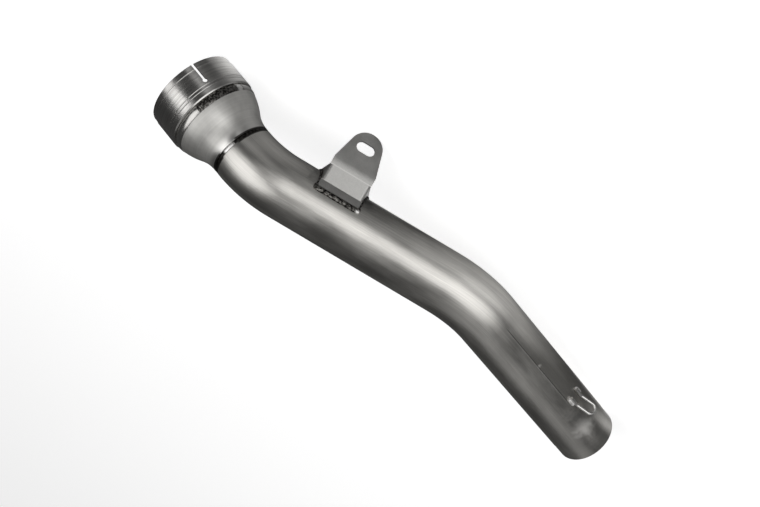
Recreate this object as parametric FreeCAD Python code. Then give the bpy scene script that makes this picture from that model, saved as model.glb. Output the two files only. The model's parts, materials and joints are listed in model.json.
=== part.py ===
import FreeCAD, Part
import math
import os

# Motorcycle decat pipe: a bent thin wall tube with a slotted slip-on sleeve at its inlet,
# a spun reducer between the two, a folded hanger bracket and a wire hook for a spring.
# The pipe is laid out along its middle straight and is then turned to lie on the floor
# as it comes to rest: on the edge of the sleeve, the edge of the outlet and the bracket.
# Lengths are millimetres and angles are degrees.

# Bent tube
tube_radius = 25.4
tube_wall = 1.5
bend_radius = 83.0
inlet_bend_angle = 28.4
outlet_bend_angle = 33.1
inlet_bend_direction = 42.3
bend_plane_twist = 71.2
middle_length = 141.8
outlet_length = 158.6
outlet_chamfer = 0.4

# Outlet end, skimmed true on a lathe where the silencer slips on
skim_length = 14.0
skim_depth = 0.15
skim_taper = 1.0

# Butt weld between the tube and the neck of the reducer
neck_weld_width = 3.0
neck_weld_recess = 0.4

# Spun reducer, from its narrow neck to its wide end, which is wider by the flare
neck_land = 1.4
neck_arc = 29.92
reducer_flare = 9.6
neck_slope = 30.0
mouth_slope = 14.0
wide_land = 3.5

# Weld bead between the reducer and the sleeve, and the sleeve's seat under it
sleeve_seat = 3.6
sleeve_weld_crown = 0.9

# Turned slip-on sleeve, which stands a little proud of the reducer's wide end
sleeve_rise = 1.9
sleeve_wall = 1.7
sleeve_length = 28.6
sleeve_bore_depth = 24.2
sleeve_back_chamfer = 0.5
lip_length = 5.3
lip_step = 0.5
lip_chamfer = 0.4
groove_width = 0.6
groove_depth = 0.35
groove_to_back = 5.0
groove_spacing = 2.6

# Clamping slots, cut from the mouth of the sleeve to a round end
slot_width = 2.1
slot_end_radius = 1.85
slot_depth = 17.1
slot_angle = 65.8

# Folded hanger bracket, which stands on the middle straight
bracket_station = 38.2
bracket_width = 35.6
sheet = 2.0
foot_angle = 32.7
foot_length = 6.0
foot_fold_radius = 1.0
plate_height = 13.6
tab_lean = 20.0
tab_fold_radius = 18.0
tab_reach = 16.7
tab_radius = 13.1
bolt_slot_width = 8.5
bolt_slot_length = 15.0
ear_height = 13.0
ear_splay = 8.0
ear_fold_radius = 1.0
ear_rear_angle = 100.0
ear_rear_rise = 2.4

# Weld beads of the bracket
front_bead_radius = 2.3
side_bead_radius = 1.7
corner_bead_radius = 2.4

# Wire hook for the retaining spring, on the outlet straight
wire_radius = 1.4
hook_angle = -175.4
hook_station = 62.0
hook_spacing = 9.0
hook_foot_length = 9.0
hook_rise_angle = 27.0
hook_rise_length = 10.0
hook_bend_radius = 5.0
hook_bead_radius = 2.1
hook_bead_length = 4.0

X = FreeCAD.Vector(1, 0, 0)
Y = FreeCAD.Vector(0, 1, 0)
Z = FreeCAD.Vector(0, 0, 1)
ORIGIN = FreeCAD.Vector(0, 0, 0)

# The bracket stands up from the middle straight, and its plate faces the front.
UP = Z
FRONT = Y * -1


def cosine(angle):
    return math.cos(math.radians(angle))


def sine(angle):
    return math.sin(math.radians(angle))


def unit(vector):
    return vector * (1.0 / vector.Length)


def between(first, second, angle):
    """The unit vector at an angle from the first vector toward the second."""
    return first * cosine(angle) + second * sine(angle)


def placing(origin, x_axis, z_axis):
    """The placement that takes local X and Z to the given directions."""
    y_axis = z_axis.cross(x_axis)
    return FreeCAD.Placement(FreeCAD.Matrix(
        x_axis.x, y_axis.x, z_axis.x, origin.x,
        x_axis.y, y_axis.y, z_axis.y, origin.y,
        x_axis.z, y_axis.z, z_axis.z, origin.z,
        0, 0, 0, 1))


def placed(shape, placement):
    result = shape.copy()
    result.Placement = placement.multiply(result.Placement)
    return result


def joined(shapes):
    return shapes[0].multiFuse(shapes[1:]).removeSplitter()


def only_solid(shape):
    return shape.Solids[0]


# Shapes that are turned on a lathe

def turned(edges):
    """A solid of revolution about Z, from edges that close a profile in the XZ plane."""
    profile = Part.Wire(Part.__sortEdges__(edges))
    return only_solid(Part.Face(profile).revolve(ORIGIN, Z, 360))


def at(radius, height):
    return FreeCAD.Vector(radius, 0, height)


def line(start, end):
    return Part.LineSegment(start, end).toShape()


def chain(points):
    return [line(start, end) for start, end in zip(points, points[1:])]


def arc_about(centre, radius, first, last):
    """An arc in the XZ plane, between two angles from the X axis toward Z."""
    ends = [centre + between(X, Z, angle) * radius for angle in (first, (first + last) / 2, last)]
    return Part.Arc(ends[0], ends[1], ends[2]).toShape()


# Shapes that are bent from a straight length

def round_section(point, heading, outer, inner):
    rim = Part.Face(Part.Wire(Part.makeCircle(outer, point, heading)))
    if inner == 0:
        return rim
    return rim.cut(Part.Face(Part.Wire(Part.makeCircle(inner, point, heading)))).Faces[0]


def bent_bar(point, heading, outer, inner, steps):
    """A round bar or tube along straights and bends. A step is a length, or a bend's
    radius, angle and the direction that it turns toward. Returns the solid and its end."""
    pieces = []
    for step in steps:
        section = round_section(point, heading, outer, inner)
        if isinstance(step, tuple):
            radius, angle, toward = step
            centre = point + toward * radius
            pieces.append(section.revolve(centre, heading.cross(toward), angle))
            point = centre + between(toward * -1, heading, angle) * radius
            heading = between(heading, toward, angle)
        else:
            pieces.append(section.extrude(heading * step))
            point = point + heading * step
    whole = joined(pieces) if len(pieces) > 1 else pieces[0]
    return only_solid(whole), point, heading


def folded_strip(point, heading, normal, width, steps):
    """A strip of sheet along runs and folds, from the middle of its back face. A step is
    a length, or a fold's inner radius and angle, positive where it folds toward the
    normal. Returns the pieces, the end of the back face, its heading and its normal."""
    pieces = []
    for step in steps:
        side = heading.cross(normal) * (width / 2)
        corners = [point - side, point + side, point + side + normal * sheet]
        corners = corners + [point - side + normal * sheet, point - side]
        section = Part.Face(Part.makePolygon(corners))
        if isinstance(step, tuple):
            radius, angle = step
            offset = radius + sheet if angle > 0 else -radius
            centre = point + normal * offset
            pieces.append(section.revolve(centre, heading.cross(normal), angle))
            point = centre - between(normal, heading * -1, angle) * offset
            heading, normal = between(heading, normal, angle), between(normal, heading * -1, angle)
        else:
            pieces.append(section.extrude(heading * step))
            point = point + heading * step
    return pieces, point, heading, normal


# The route of the pipe. The middle straight runs from the origin along X.
inlet_turn = between(Y, Z, inlet_bend_direction)
outlet_turn = between(Y, Z, inlet_bend_direction - bend_plane_twist)
inlet_centre = inlet_turn * bend_radius
tube_start = inlet_centre - between(inlet_turn, X, inlet_bend_angle) * bend_radius
inlet_heading = between(X, inlet_turn * -1, inlet_bend_angle)
inlet_toward = unit(inlet_centre - tube_start)
skim_radius = tube_radius - skim_depth


def make_tube():
    steps = [
        (bend_radius, inlet_bend_angle, inlet_toward),
        middle_length,
        (bend_radius, outlet_bend_angle, outlet_turn),
        outlet_length,
    ]
    inner = tube_radius - tube_wall
    tube, end, heading = bent_bar(tube_start, inlet_heading, tube_radius, inner, steps)
    outside = tube_radius + skim_depth
    chips = chain([
        at(skim_radius - outlet_chamfer, 0),
        at(skim_radius, -outlet_chamfer),
        at(skim_radius, -skim_length),
        at(outside, -skim_length - 2 * skim_taper),
        at(outside, 0),
        at(skim_radius - outlet_chamfer, 0),
    ])
    skim = placed(turned(chips), placing(end, outlet_toward(heading), heading))
    return only_solid(tube.cut(skim)), end, heading


def outlet_toward(heading):
    """The direction square to the outlet straight that points into its bend."""
    return unit(outlet_turn - heading * outlet_turn.dot(heading))


# The inlet end is turned about an axis of its own. Heights there run from the end of the
# tube toward the mouth, and angles from the inside of the first bend.
# The taper is a hollow arc at the neck and a crowned arc at the bowl, which meet on the
# steep slope. The bowl's arc takes up what the neck's arc leaves of the flare.
inlet_frame = placing(tube_start, inlet_toward, inlet_heading * -1)
neck_rise = neck_arc * (1 - cosine(neck_slope))
bowl_arc = (reducer_flare - neck_rise) / (cosine(mouth_slope) - cosine(neck_slope))
taper_length = neck_arc * sine(neck_slope) + bowl_arc * (sine(neck_slope) - sine(mouth_slope))
neck_end = neck_weld_width
taper_start = neck_end + neck_land
taper_end = taper_start + taper_length
reducer_end = taper_end + wide_land
sleeve_back = reducer_end + sleeve_seat
sleeve_mouth = sleeve_back + sleeve_length
reducer_wide_radius = tube_radius + reducer_flare
reducer_wide_inner = reducer_wide_radius - tube_wall * cosine(mouth_slope)
sleeve_radius = reducer_wide_radius + sleeve_rise
sleeve_bore_radius = sleeve_radius - sleeve_wall


def make_reducer():
    neck_centre = at(tube_radius + neck_arc, taper_start)
    meeting = neck_centre + between(X * -1, Z, neck_slope) * neck_arc
    bowl_centre = meeting - between(X, Z * -1, neck_slope) * bowl_arc
    neck_inner = tube_radius - tube_wall
    neck_inner_arc = neck_arc + tube_wall
    bowl_inner_arc = bowl_arc - tube_wall
    outer_neck = arc_about(neck_centre, neck_arc, 180, 180 - neck_slope)
    outer_bowl = arc_about(bowl_centre, bowl_arc, -neck_slope, -mouth_slope)
    inner_neck = arc_about(neck_centre, neck_inner_arc, 180, 180 - neck_slope)
    inner_bowl = arc_about(bowl_centre, bowl_inner_arc, -neck_slope, -mouth_slope)
    wide_start = bowl_centre + between(X, Z * -1, mouth_slope) * bowl_arc
    wide_inner_start = bowl_centre + between(X, Z * -1, mouth_slope) * bowl_inner_arc
    neck_edges = chain([
        at(tube_radius, taper_start),
        at(tube_radius, neck_end),
        at(neck_inner, neck_end),
        at(neck_inner, taper_start),
    ])
    wide_edges = chain([
        wide_start,
        at(reducer_wide_radius, reducer_end),
        at(reducer_wide_inner, reducer_end),
        wide_inner_start,
    ])
    arcs = [outer_neck, outer_bowl, inner_neck, inner_bowl]
    return placed(turned(arcs + neck_edges + wide_edges), inlet_frame)


def make_neck_weld():
    outer = tube_radius - neck_weld_recess
    inner = tube_radius - tube_wall
    corners = [at(outer, 0), at(outer, neck_end), at(inner, neck_end), at(inner, 0), at(outer, 0)]
    return placed(turned(chain(corners)), inlet_frame)


def make_sleeve():
    """The sleeve's profile runs from its seat, over its back, out to the mouth and in
    along the bore to the stop that the header pipe meets."""
    lip_start = sleeve_mouth - lip_length
    lip_radius = sleeve_radius - lip_step
    corners = [
        at(reducer_wide_inner, reducer_end),
        at(reducer_wide_radius, reducer_end),
        at(reducer_wide_radius, sleeve_back),
        at(sleeve_radius - sleeve_back_chamfer, sleeve_back),
        at(sleeve_radius, sleeve_back + sleeve_back_chamfer),
    ]
    for count in range(2):
        groove = sleeve_back + groove_to_back + count * groove_spacing
        corners.append(at(sleeve_radius, groove - groove_width / 2))
        corners.append(at(sleeve_radius - groove_depth, groove))
        corners.append(at(sleeve_radius, groove + groove_width / 2))
    corners = corners + [
        at(sleeve_radius, lip_start),
        at(lip_radius, lip_start + lip_step),
        at(lip_radius, sleeve_mouth - lip_chamfer),
        at(lip_radius - lip_chamfer, sleeve_mouth),
        at(sleeve_bore_radius, sleeve_mouth),
        at(sleeve_bore_radius, sleeve_mouth - sleeve_bore_depth),
        at(reducer_wide_inner, sleeve_mouth - sleeve_bore_depth),
        at(reducer_wide_inner, reducer_end),
    ]
    sleeve = turned(chain(corners))
    across = 2 * (sleeve_radius + slot_width)
    opening = Part.makeBox(across, slot_width, slot_depth + slot_width)
    opening.translate(FreeCAD.Vector(-across / 2, -slot_width / 2, sleeve_mouth - slot_depth))
    bottom = at(-across / 2, sleeve_mouth - slot_depth)
    round_end = Part.makeCylinder(slot_end_radius, across, bottom, X)
    slot = opening.fuse(round_end)
    slot.rotate(ORIGIN, Z, slot_angle)
    return placed(only_solid(sleeve.cut(slot)), inlet_frame)


def make_sleeve_weld():
    start = at(reducer_wide_radius, taper_end)
    crown = at(reducer_wide_radius + sleeve_weld_crown, (taper_end + sleeve_back) / 2)
    end = at(reducer_wide_radius, sleeve_back)
    bead = turned([Part.Arc(start, crown, end).toShape(), line(end, start)])
    return placed(bead, inlet_frame)


# The bracket. Its foot lies along the tube, the plate stands square to the front and the
# tab leans back. An ear is folded back from each side of the plate, down to the tube.

bracket_origin = X * bracket_station
half_width = bracket_width / 2
tube_blank = Part.makeCylinder(tube_radius, middle_length, ORIGIN, X)


def tab_outline():
    """The tab's outline about the middle of its fold: two sides that run tangent into the
    round top. X is along the pipe and Z up the tab."""
    centre = FreeCAD.Vector(0, 0, tab_reach)
    corner_distance = math.hypot(half_width, tab_reach)
    fall = math.degrees(math.atan2(tab_reach, half_width))
    turn = math.degrees(math.acos(tab_radius / corner_distance)) - fall
    right = centre + between(X, Z, turn) * tab_radius
    left = centre + between(X * -1, Z, turn) * tab_radius
    top = Part.Arc(right, centre + Z * tab_radius, left).toShape()
    sides = chain([left, X * -half_width, X * half_width, right])
    return Part.Face(Part.Wire(Part.__sortEdges__([top] + sides)))


def bolt_slot():
    """The slotted hole for the hanger bolt, in the same axes as the tab's outline."""
    reach = (bolt_slot_length - bolt_slot_width) / 2
    middle = Part.makeBox(2 * reach, 3 * sheet, bolt_slot_width)
    middle.translate(FreeCAD.Vector(-reach, -2 * sheet, tab_reach - bolt_slot_width / 2))
    ends = []
    for side in (-1, 1):
        start = FreeCAD.Vector(side * reach, -2 * sheet, tab_reach)
        ends.append(Part.makeCylinder(bolt_slot_width / 2, 3 * sheet, start, Y))
    return joined([middle] + ends)


def ear(side, fold_point, plate_top):
    """One ear, folded back from the plate's side and trimmed to its outline and the tube."""
    skirt = ear_height + sheet
    middle = fold_point + X * (side * (half_width - ear_fold_radius - sheet))
    middle = middle + UP * (ear_height - skirt / 2)
    rear = between(FRONT, UP, ear_rear_angle) * tube_radius
    depth = (fold_point - rear).dot(FRONT) / cosine(ear_splay)
    steps = [(ear_fold_radius, ear_splay - 90), depth]
    pieces = folded_strip(middle, X * side, FRONT, skirt, steps)[0]
    wide = X * bracket_width
    plate_back = fold_point.dot(FRONT)
    outline = [
        FRONT * (plate_back + 2 * sheet),
        FRONT * (plate_back + 2 * sheet) + UP * plate_top,
        FRONT * (plate_back - ear_fold_radius) + UP * plate_top,
        rear + UP * ear_rear_rise,
        FRONT * rear.dot(FRONT),
        FRONT * (plate_back + 2 * sheet),
    ]
    profile = Part.Face(Part.makePolygon([bracket_origin - wide + corner for corner in outline]))
    return joined(pieces).common(profile.extrude(wide * 2))


def make_bracket():
    start = bracket_origin + between(FRONT, UP, foot_angle) * tube_radius
    heading = between(FRONT, UP, foot_angle + 90)
    normal = between(FRONT, UP, foot_angle)
    foot_steps = [foot_length, (foot_fold_radius, foot_angle)]
    foot, fold_point, heading, normal = folded_strip(start, heading, normal, bracket_width, foot_steps)
    rise = [plate_height, (tab_fold_radius, -tab_lean)]
    plate, tab_point, heading, normal = folded_strip(fold_point, heading, normal, bracket_width, rise)
    plate_top = fold_point.dot(UP) + ear_height
    corner = ear_fold_radius + sheet
    for side in (-1, 1):
        notch = Part.makeBox(corner, 3 * sheet, ear_height)
        middle = bracket_origin + X * (side * (half_width - corner / 2) - corner / 2)
        notch.translate(middle + FRONT * (fold_point.dot(FRONT) + 2 * sheet) + UP * fold_point.dot(UP))
        plate[0] = plate[0].cut(notch)
    tab_frame = placing(tab_point, X, heading)
    tab = placed(tab_outline().extrude(FRONT * sheet), tab_frame)
    ears = [ear(side, fold_point, plate_top) for side in (-1, 1)]
    whole = joined(foot + plate + [tab] + ears)
    whole = whole.cut(placed(bolt_slot(), tab_frame)).cut(tube_blank)
    return only_solid(whole), fold_point, tab_frame


def make_front_bead(bracket):
    """The bead along the front edge of the bracket's foot."""
    drop = math.degrees(0.7 * front_bead_radius / tube_radius)
    start = bracket_origin + between(FRONT, UP, foot_angle - drop) * tube_radius
    ends = [start - X * half_width, start + X * half_width]
    pieces = [Part.makeCylinder(front_bead_radius, bracket_width, ends[0], X)]
    pieces = pieces + [Part.makeSphere(front_bead_radius, end) for end in ends]
    return only_solid(joined(pieces).cut(tube_blank).cut(bracket))


def make_side_bead(side, bracket, fold_point, front_bead):
    """The bead along the outside of one ear, from the plate's corner over the tube."""
    reach = fold_point.dot(FRONT) * math.tan(math.radians(ear_splay))
    centre = bracket_origin + X * (side * (half_width + reach))
    level = between(FRONT, X * -side, ear_splay)
    radial = between(level, UP, foot_angle)
    start = centre + radial * tube_radius
    turn = (tube_radius, ear_rear_angle - foot_angle, radial * -1)
    bead, end, _ = bent_bar(start, between(level, UP, foot_angle + 90), side_bead_radius, 0, [turn])
    corner = bracket_origin + X * (side * half_width) + between(FRONT, UP, foot_angle) * tube_radius
    pieces = [
        bead,
        Part.makeSphere(side_bead_radius, end),
        Part.makeSphere(corner_bead_radius, corner),
    ]
    return only_solid(joined(pieces).cut(tube_blank).cut(bracket).cut(front_bead))


# The spring hook, in a frame at the outlet whose Z points out of the pipe and whose X
# points at the middle of the hook.

def hook_frame(end, heading):
    toward = outlet_toward(heading)
    return placing(end, between(toward, heading.cross(toward), hook_angle), heading)


def hook_foot(side):
    """The height of the wire's centre on the tube, and the start of one foot."""
    height = math.sqrt((tube_radius + wire_radius) ** 2 - (hook_spacing / 2) ** 2)
    return FreeCAD.Vector(height, side * hook_spacing / 2, -hook_station)


def make_hook(frame):
    rise = between(Z, X, hook_rise_angle)
    above = between(X, Z * -1, hook_rise_angle)
    straight = hook_foot_length - hook_bend_radius * math.tan(math.radians(hook_rise_angle / 2))
    steps = [
        straight,
        (hook_bend_radius, hook_rise_angle, X),
        hook_rise_length,
        (hook_spacing / 2, 180, Y),
        hook_rise_length,
        (hook_bend_radius, hook_rise_angle, above),
        straight,
    ]
    wire = bent_bar(hook_foot(-1), Z, wire_radius, 0, steps)[0]
    return placed(wire, frame)


def make_hook_bead(side, frame, hook, tube):
    """A short bead that ties one foot of the hook down to the tube."""
    start = hook_foot(side)
    outward = unit(FreeCAD.Vector(start.x, start.y, 0))
    start = outward * tube_radius + Y * (side * wire_radius) + Z * (start.z + wire_radius)
    end = start + Z * hook_bead_length
    pieces = [
        Part.makeCylinder(hook_bead_radius, hook_bead_length, start, Z),
        Part.makeSphere(hook_bead_radius, start),
        Part.makeSphere(hook_bead_radius, end),
    ]
    bead = placed(joined(pieces), frame)
    return only_solid(bead.cut(hook).cut(tube))


# How the pipe comes to rest. Each group holds the circles of one edge that can reach the
# floor, as a centre, an axis and a radius.

def lowest(circles, up):
    """The lowest point of a group of circles."""
    points = []
    for centre, axis, radius in circles:
        fall = axis * up.dot(axis) - up
        points.append(centre + unit(fall) * radius)
    return min(points, key=lambda point: point.dot(up))


def resting_up(groups):
    """The direction that points up when the lowest points of three groups share a floor."""
    up = unit(FreeCAD.Vector(-0.1, -0.5, -0.85))
    for _ in range(60):
        first, second, third = [lowest(group, up) for group in groups]
        normal = unit((second - first).cross(third - first))
        up = normal if normal.dot(up) > 0 else normal * -1
    return up


def make_resting_placement(outlet_end, outlet_heading, tab_frame):
    mouth_axis = inlet_heading * -1
    lip_height = sleeve_mouth - lip_chamfer
    sleeve_rim = [
        (tube_start + mouth_axis * lip_height, mouth_axis, sleeve_radius - lip_step),
        (tube_start + mouth_axis * (sleeve_mouth - lip_length), mouth_axis, sleeve_radius),
    ]
    skim_back = outlet_end - outlet_heading * (skim_length + skim_taper)
    outlet_rim = [
        (outlet_end - outlet_heading * outlet_chamfer, outlet_heading, skim_radius),
        (skim_back, outlet_heading, tube_radius),
    ]
    tab_axis = tab_frame.Rotation.multVec(FRONT)
    tab_centre = tab_frame.multVec(Z * tab_reach)
    tab_rim = [(tab_centre, tab_axis, tab_radius), (tab_centre + tab_axis * sheet, tab_axis, tab_radius)]
    up = resting_up([sleeve_rim, outlet_rim, tab_rim])
    mouth = tube_start + mouth_axis * sleeve_mouth
    length = outlet_end - mouth
    along = unit(length - up * length.dot(up))
    return placing(ORIGIN, along, up).inverse()


def centred_on_floor(shapes, resting):
    """The resting placement, moved so that the whole stands centred on the origin."""
    box = Part.makeCompound([placed(shape, resting) for shape in shapes]).optimalBoundingBox()
    middle = FreeCAD.Vector((box.XMin + box.XMax) / 2, (box.YMin + box.YMax) / 2, box.ZMin)
    return FreeCAD.Placement(middle * -1, FreeCAD.Rotation()).multiply(resting)


tube, outlet_end, outlet_heading = make_tube()
bracket, plate_fold, tab_frame = make_bracket()
front_bead = make_front_bead(bracket)
spring_frame = hook_frame(outlet_end, outlet_heading)
hook = make_hook(spring_frame)

parts = {
    "bent_tube": tube,
    "neck_weld": make_neck_weld(),
    "reducer": make_reducer(),
    "sleeve_weld": make_sleeve_weld(),
    "inlet_sleeve": make_sleeve(),
    "hanger_bracket": bracket,
    "bracket_front_weld": front_bead,
    "bracket_inlet_side_weld": make_side_bead(-1, bracket, plate_fold, front_bead),
    "bracket_outlet_side_weld": make_side_bead(1, bracket, plate_fold, front_bead),
    "spring_hook": hook,
    "hook_weld_near": make_hook_bead(-1, spring_frame, hook, tube),
    "hook_weld_far": make_hook_bead(1, spring_frame, hook, tube),
}

resting = make_resting_placement(outlet_end, outlet_heading, tab_frame)
standing = centred_on_floor(parts.values(), resting)

os.makedirs("parts", exist_ok=True)
for name, shape in parts.items():
    solid = placed(shape, standing)
    solid.exportStep("parts/" + name + ".step")
    print(name, "volume", round(solid.Volume, 1), "valid", solid.isValid())
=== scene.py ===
import bmesh
import bpy
import json
import math
from mathutils import Matrix, Vector


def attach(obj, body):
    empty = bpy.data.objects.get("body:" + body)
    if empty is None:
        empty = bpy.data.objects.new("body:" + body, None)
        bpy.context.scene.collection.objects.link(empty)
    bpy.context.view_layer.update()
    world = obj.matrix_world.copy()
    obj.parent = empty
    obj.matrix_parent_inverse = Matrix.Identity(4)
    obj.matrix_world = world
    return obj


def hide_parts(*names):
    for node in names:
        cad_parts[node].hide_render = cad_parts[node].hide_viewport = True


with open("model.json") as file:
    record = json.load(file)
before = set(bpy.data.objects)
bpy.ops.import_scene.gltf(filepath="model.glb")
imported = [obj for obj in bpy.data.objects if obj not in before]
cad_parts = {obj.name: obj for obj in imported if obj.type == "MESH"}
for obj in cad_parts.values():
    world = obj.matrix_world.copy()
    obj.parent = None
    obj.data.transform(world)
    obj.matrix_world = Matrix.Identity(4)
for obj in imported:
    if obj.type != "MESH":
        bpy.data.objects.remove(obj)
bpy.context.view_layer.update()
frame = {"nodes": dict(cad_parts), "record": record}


# Bent tube. One length of 50.8 mm stainless tube with a 1.5 mm wall, drawn round a former
# in two planes that are twisted apart. It is brushed along its length, and the last 14 mm
# before the square-cut outlet are skimmed true on a lathe, which leaves fine rings.

tube_radius = 0.0254
tube_wall = 0.0015
tube_sides = 176
bend_radius = 0.083
bend_step = 0.0016
outlet_bend = math.radians(33.1)
outlet_length = 0.1586
skim_length = 0.014
skim_depth = 0.00015
skim_taper = 0.001
rim_round = 0.0003
mouth_station = 0.0689
sleeve_bore_depth = 0.0242
outlet_mount_back = 0.0072

mounts = {mount["name"]: mount for mount in frame["record"]["mounts"]}


def mount_line(name, forward):
    """A point on a mount's axis, moved along the way that the axis points, and the axis."""
    axis = Vector(mounts[name]["axis"]).normalized()
    return Vector(mounts[name]["pos_m"]) + axis * forward, axis


sleeve_mouth, mouth_axis = mount_line("inlet_sleeve_bore", sleeve_bore_depth / 2)
outlet_end, outlet_axis = mount_line("outlet_end", outlet_mount_back)
tube_start = sleeve_mouth - mouth_axis * mouth_station
outlet_corner = outlet_end - outlet_axis * (outlet_length + bend_radius * math.tan(outlet_bend / 2))

# The first bend's corner depends on its own angle, so each turn brings the two closer.
inlet_corner = tube_start
for _ in range(40):
    inlet_turn = (-mouth_axis).angle(outlet_corner - inlet_corner)
    inlet_corner = tube_start - mouth_axis * (bend_radius * math.tan(inlet_turn / 2))


def filleted(corners, radii, step):
    """The points of straights that are joined by tangent arcs, about a step apart there.
    Points that fall together are dropped."""
    points = [corners[0]]
    for before, corner, after, radius in zip(corners, corners[1:], corners[2:], radii):
        arriving = (corner - before).normalized()
        leaving = (after - corner).normalized()
        turn = arriving.angle(leaving)
        inward = (leaving - arriving * arriving.dot(leaving)).normalized()
        start = corner - arriving * (radius * math.tan(turn / 2))
        count = math.ceil(radius * turn / step)
        for index in range(count + 1):
            angle = turn * index / count
            across = inward * (radius * (1 - math.cos(angle)))
            points.append(start + across + arriving * (radius * math.sin(angle)))
    points.append(corners[-1])
    apart = [(after - before).length > step / 100 for before, after in zip(points, points[1:])]
    return points[:1] + [point for point, new in zip(points[1:], apart) if new]


def in_scene(name, data):
    piece = bpy.data.objects.new(name, data)
    bpy.context.scene.collection.objects.link(piece)
    return piece


def route_curve(name, points, radii):
    """A poly curve through points. A radius of 1 there keeps the bar at its full width."""
    curve = bpy.data.curves.new(name, "CURVE")
    curve.dimensions = "3D"
    spline = curve.splines.new("POLY")
    spline.points.add(len(points) - 1)
    for spot, point, radius in zip(spline.points, points, radii):
        spot.co = (*point, 1)
        spot.radius = radius
    return in_scene(name, curve)


def named_tree(name, inputs, output):
    """An empty Geometry Nodes tree with named inputs, and the identifiers of these."""
    tree = bpy.data.node_groups.new(name, "GeometryNodeTree")
    identifiers = {}
    for label, kind in inputs.items():
        socket = tree.interface.new_socket(label, in_out="INPUT", socket_type="NodeSocket" + kind)
        identifiers[label] = socket.identifier
    tree.interface.new_socket(output, in_out="OUTPUT", socket_type="NodeSocketGeometry")
    return tree, identifiers


def end_tree(tree, shape, finish):
    """Ends a tree: its instances are made real, and they get their finish."""
    add, link = tree.nodes.new, tree.links.new
    real = add("GeometryNodeRealizeInstances")
    link(shape, real.inputs["Geometry"])
    painted = add("GeometryNodeSetMaterial")
    link(real.outputs["Geometry"], painted.inputs["Geometry"])
    link(finish, painted.inputs["Material"])
    link(painted.outputs["Geometry"], add("NodeGroupOutput").inputs[0])


def bar_tree():
    """Geometry Nodes for a round bar along a route. Each point keeps its place on the
    straight bar, before it was bent, in the attribute straight_bar."""
    kinds = {
        "Route": "Geometry",
        "Bar radius": "Float",
        "Sides": "Int",
        "Closed ends": "Bool",
        "Finish": "Material",
    }
    tree, identifiers = named_tree("bent_bar", kinds, "Bar")
    add, link = tree.nodes.new, tree.links.new
    given = add("NodeGroupInput").outputs
    station = add("GeometryNodeSplineParameter")
    keep_station = add("GeometryNodeCaptureAttribute")
    keep_station.capture_items.new("FLOAT", "station")
    link(given["Route"], keep_station.inputs["Geometry"])
    link(station.outputs["Length"], keep_station.inputs["station"])
    section = add("GeometryNodeCurvePrimitiveCircle")
    link(given["Sides"], section.inputs["Resolution"])
    link(given["Bar radius"], section.inputs["Radius"])
    keep_section = add("GeometryNodeCaptureAttribute")
    keep_section.capture_items.new("VECTOR", "around")
    link(section.outputs["Curve"], keep_section.inputs["Geometry"])
    link(add("GeometryNodeInputPosition").outputs[0], keep_section.inputs["around"])
    sweep = add("GeometryNodeCurveToMesh")
    link(keep_station.outputs["Geometry"], sweep.inputs["Curve"])
    link(keep_section.outputs["Geometry"], sweep.inputs["Profile Curve"])
    link(add("GeometryNodeInputRadius").outputs[0], sweep.inputs["Scale"])
    link(given["Closed ends"], sweep.inputs["Fill Caps"])
    split = add("ShaderNodeSeparateXYZ")
    link(keep_section.outputs["around"], split.inputs[0])
    place = add("ShaderNodeCombineXYZ")
    link(keep_station.outputs["station"], place.inputs["X"])
    link(split.outputs["X"], place.inputs["Y"])
    link(split.outputs["Y"], place.inputs["Z"])
    store = add("GeometryNodeStoreNamedAttribute")
    store.data_type = "FLOAT_VECTOR"
    store.inputs["Name"].default_value = "straight_bar"
    link(sweep.outputs["Mesh"], store.inputs["Geometry"])
    link(place.outputs[0], store.inputs["Value"])
    end_tree(tree, store.outputs["Geometry"], given["Finish"])
    return tree, identifiers


bent_bar = bar_tree()


def smooth_faces(mesh):
    for face in mesh.polygons:
        face.use_smooth = True


def made_real(piece, name):
    """The evaluated piece as a plain smooth mesh, in place of the piece itself."""
    shown = bpy.context.evaluated_depsgraph_get()
    mesh = bpy.data.meshes.new_from_object(piece.evaluated_get(shown), depsgraph=shown)
    bpy.data.objects.remove(piece)
    mesh.name = name
    smooth_faces(mesh)
    return in_scene(name, mesh)


def shaped_by(piece, name, made_tree, values):
    """A piece made real by a tree of nodes, with values for the tree's named inputs."""
    tree, identifiers = made_tree
    modifier = piece.modifiers.new(tree.name, "NODES")
    modifier.node_group = tree
    for label, value in values.items():
        modifier[identifiers[label]] = value
    return made_real(piece, name)


def rounded(piece, width, least_angle):
    """Rounds a piece's edges a little, and keeps its broad faces true beside them."""
    smooth_faces(piece.data)
    edges = piece.modifiers.new("edges", "BEVEL")
    edges.width = width
    edges.segments = 2
    edges.limit_method = "ANGLE"
    edges.angle_limit = math.radians(least_angle)
    shading = piece.modifiers.new("shading", "WEIGHTED_NORMAL")
    shading.mode = "FACE_AREA"
    shading.weight = 80


def bar_along(name, points, radii, radius, sides, closed, finish):
    route = route_curve(name + "_route", points, radii)
    values = {"Bar radius": radius, "Sides": sides, "Closed ends": closed, "Finish": finish}
    return shaped_by(route, name, bent_bar, values)


def metal(name, colour, roughness):
    """A bare metal and its parts: the material, its nodes, its links and its shader."""
    material = bpy.data.materials.new(name)
    material.use_nodes = True
    nodes, links = material.node_tree.nodes, material.node_tree.links
    shader = nodes["Principled BSDF"]
    shader.inputs["Metallic"].default_value = 1.0
    shader.inputs["Base Color"].default_value = (*colour, 1)
    shader.inputs["Roughness"].default_value = roughness
    return material, nodes, links, shader


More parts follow.
